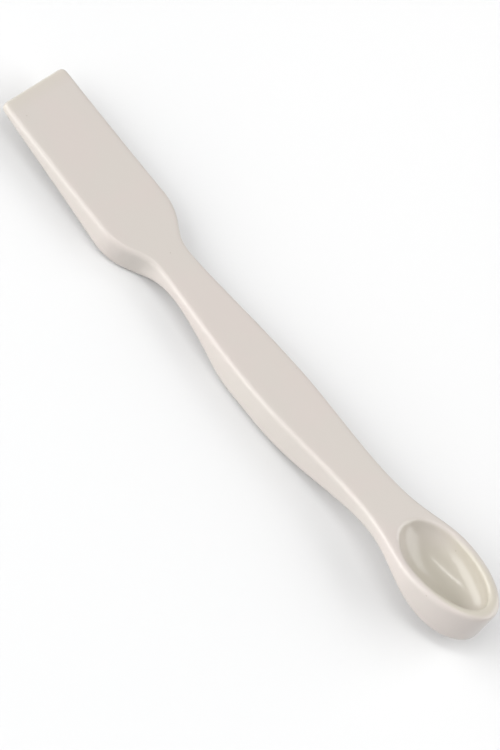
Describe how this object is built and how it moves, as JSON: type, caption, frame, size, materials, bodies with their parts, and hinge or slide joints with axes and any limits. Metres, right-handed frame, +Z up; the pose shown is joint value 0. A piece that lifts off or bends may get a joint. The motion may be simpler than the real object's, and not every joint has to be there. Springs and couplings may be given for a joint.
{
  "type": "laboratory spatula",
  "caption": "One-piece glazed porcelain laboratory spatula with a flat wedge blade, a waisted handle and a deep egg-shaped spoon bowl.",
  "frame": {"origin": "on the bench, under the middle of the tool's length and width", "axes": "+X from the blade's tip to the spoon's end, +Z up out of the spoon's hollow"},
  "size_m": [0.15, 0.0198, 0.0138],
  "materials": {
    "porcelain": "glossy warm-white glaze over porcelain"
  },
  "bodies": {
    "root": {"spatula": "porcelain"}
  },
  "joints": []
}
